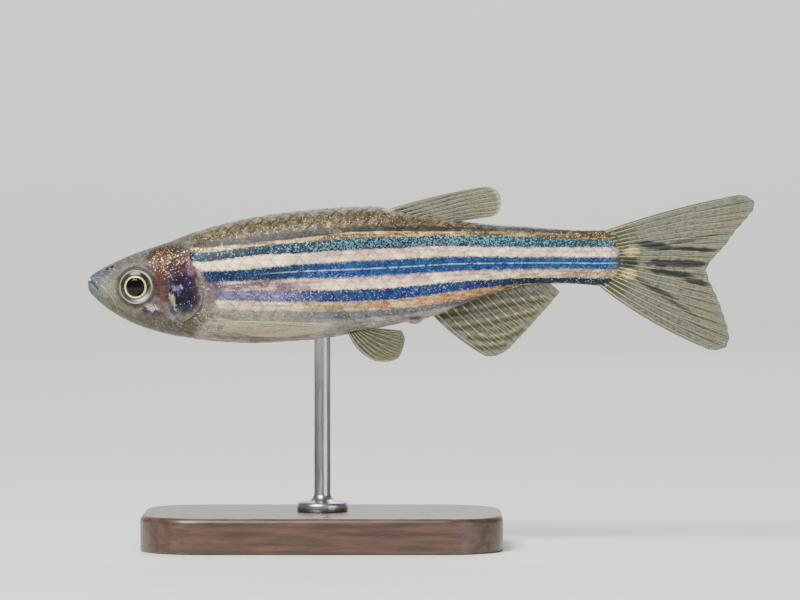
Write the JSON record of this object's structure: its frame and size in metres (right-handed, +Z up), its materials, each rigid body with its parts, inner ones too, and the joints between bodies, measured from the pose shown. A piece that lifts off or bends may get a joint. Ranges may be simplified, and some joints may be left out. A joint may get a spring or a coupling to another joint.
{
  "type": "zebra danio model",
  "caption": "Small slender striped fish with all its fins spread, fixed in a level swimming pose on a rod above a flat display base.",
  "frame": {"origin": "on the floor, under the middle of the whole model", "axes": "+Z up, +X towards the tail, +Y towards the fish's right side; the head points to -X"},
  "size_m": [0.0445, 0.014, 0.0241],
  "materials": {
    "head_skin": "wet, silvery with violet flecks",
    "gill_cover_skin": "wet, iridescent purple-blue",
    "eye": "clear and glossy",
    "body_skin": "wet and iridescent, blue stripes on cream and pink",
    "fin_membrane": "thin and translucent",
    "stand_wood": "dark stained, satin",
    "stand_steel": "satin"
  },
  "bodies": {
    "root": {"head": "head_skin", "gill_cover_left": "gill_cover_skin", "gill_cover_right": "gill_cover_skin", "eye_left": "eye", "eye_right": "eye", "trunk": "body_skin", "rear_body": "body_skin", "tail_stalk": "body_skin", "dorsal_fin": "fin_membrane", "anal_fin": "fin_membrane", "caudal_fin_upper": "fin_membrane", "caudal_fin_lower": "fin_membrane", "pelvic_fin_left": "fin_membrane", "pelvic_fin_right": "fin_membrane", "pectoral_fin_left": "fin_membrane", "pectoral_fin_right": "fin_membrane", "stand_base": "stand_wood", "stand_rod": "stand_steel"}
  },
  "joints": []
}
